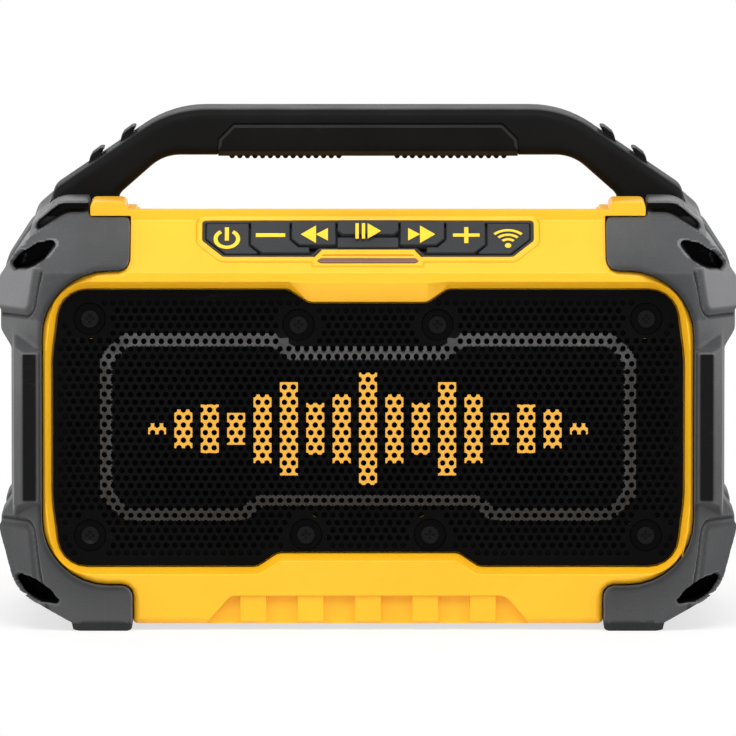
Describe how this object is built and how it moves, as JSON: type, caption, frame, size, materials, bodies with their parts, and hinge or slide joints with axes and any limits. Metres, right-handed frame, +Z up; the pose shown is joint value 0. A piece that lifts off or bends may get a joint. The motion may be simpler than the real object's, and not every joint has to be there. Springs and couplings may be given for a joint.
{
  "type": "jobsite wireless speaker",
  "caption": "Rugged carry-handle loudspeaker: yellow housing between rubber bumpers, perforated steel grille, sloped keypad, slide-in battery bay and covered ports at the back.",
  "frame": {"origin": "on the floor, under the middle of the part", "axes": "+X to the right as seen from the front, +Y from the grille to the back, +Z up"},
  "size_m": [0.268, 0.14, 0.187],
  "materials": {
    "housing_plastic": "satin moulded yellow",
    "seal_rubber": "matt",
    "bumper_rubber": "matt, fine grain",
    "handle_plastic": "satin black",
    "grip_rubber": "matt black",
    "grille_steel": "semi-gloss black",
    "black_screw_steel": "blackened steel",
    "screen_cloth": "black acoustic cloth",
    "keypad_plastic": "satin dark grey",
    "lens_plastic": "smoked translucent",
    "board_laminate": "solder resist",
    "switch_plastic": "matt",
    "basket_steel": "black",
    "gasket_foam": "foam",
    "magnet_steel": "plated",
    "surround_rubber": "matt",
    "cone_paper": "coated black paper",
    "screw_steel": "plated",
    "sink_aluminium": "plain",
    "capacitor_sleeve": "sleeve over aluminium can",
    "terminal_plastic": "matt",
    "blade_brass": "plated",
    "socket_plastic": "matt",
    "socket_steel": "plated",
    "cover_rubber": "matt"
  },
  "bodies": {
    "body": {"front_housing": "housing_plastic", "rear_housing": "housing_plastic", "housing_seal": "seal_rubber", "left_bumper": "bumper_rubber", "right_bumper": "bumper_rubber", "handle": "handle_plastic", "handle_grip": "grip_rubber", "grille": "grille_steel", "grille_screws": "black_screw_steel", "dust_screen": "screen_cloth", "keypad_frame": "keypad_plastic", "status_lens": "lens_plastic", "control_board": "board_laminate", "key_switches": "switch_plastic", "left_driver_frame": "basket_steel", "right_driver_frame": "basket_steel", "left_driver_gasket": "gasket_foam", "right_driver_gasket": "gasket_foam", "left_magnet": "magnet_steel", "right_magnet": "magnet_steel", "left_surround": "surround_rubber", "right_surround": "surround_rubber", "driver_screws": "screw_steel", "main_board": "board_laminate", "heat_sink": "sink_aluminium", "capacitors": "capacitor_sleeve", "board_screws": "screw_steel", "terminal_block": "terminal_plastic", "terminal_blades": "blade_brass", "port_board": "board_laminate", "aux_jack": "socket_plastic", "usb_port": "socket_steel", "power_jack": "socket_plastic", "port_cover_pin": "screw_steel", "housing_screws": "screw_steel", "bumper_screws": "black_screw_steel", "handle_screws": "black_screw_steel"},
    "power_key_cap": {"power_key": "keypad_plastic"},
    "volume_down_key_cap": {"volume_down_key": "keypad_plastic"},
    "previous_key_cap": {"previous_key": "keypad_plastic"},
    "play_key_cap": {"play_key": "keypad_plastic"},
    "next_key_cap": {"next_key": "keypad_plastic"},
    "volume_up_key_cap": {"volume_up_key": "keypad_plastic"},
    "pairing_key_cap": {"pairing_key": "keypad_plastic"},
    "left_cone_body": {"left_cone": "cone_paper"},
    "right_cone_body": {"right_cone": "cone_paper"},
    "cover": {"port_cover": "cover_rubber"}
  },
  "joints": [
    {"name": "power_key_press", "type": "slide", "parent": "body", "child": "power_key_cap", "axis": [0, 0.6947, -0.7193], "range_m": [0, 0.0007], "stiffness_N_per_m": 400},
    {"name": "volume_down_key_press", "type": "slide", "parent": "body", "child": "volume_down_key_cap", "axis": [0, 0.6947, -0.7193], "range_m": [0, 0.0007], "stiffness_N_per_m": 400},
    {"name": "previous_key_press", "type": "slide", "parent": "body", "child": "previous_key_cap", "axis": [0, 0.6947, -0.7193], "range_m": [0, 0.0007], "stiffness_N_per_m": 400},
    {"name": "play_key_press", "type": "slide", "parent": "body", "child": "play_key_cap", "axis": [0, 0.6947, -0.7193], "range_m": [0, 0.0007], "stiffness_N_per_m": 400},
    {"name": "next_key_press", "type": "slide", "parent": "body", "child": "next_key_cap", "axis": [0, 0.6947, -0.7193], "range_m": [0, 0.0007], "stiffness_N_per_m": 400},
    {"name": "volume_up_key_press", "type": "slide", "parent": "body", "child": "volume_up_key_cap", "axis": [0, 0.6947, -0.7193], "range_m": [0, 0.0007], "stiffness_N_per_m": 400},
    {"name": "pairing_key_press", "type": "slide", "parent": "body", "child": "pairing_key_cap", "axis": [0, 0.6947, -0.7193], "range_m": [0, 0.0007], "stiffness_N_per_m": 400},
    {"name": "left_cone_travel", "type": "slide", "parent": "body", "child": "left_cone_body", "axis": [0, -1, 0], "range_m": [-0.002, 0.002], "stiffness_N_per_m": 1500, "deforming": ["left_surround"]},
    {"name": "right_cone_travel", "type": "slide", "parent": "body", "child": "right_cone_body", "axis": [0, -1, 0], "range_m": [-0.002, 0.002], "stiffness_N_per_m": 1500, "deforming": ["right_surround"]},
    {"name": "port_cover_hinge", "type": "hinge", "parent": "body", "child": "cover", "pos_m": [0.057, 0.06, 0.09755], "axis": [0, 0, 1], "range_deg": [0, 105]}
  ]
}
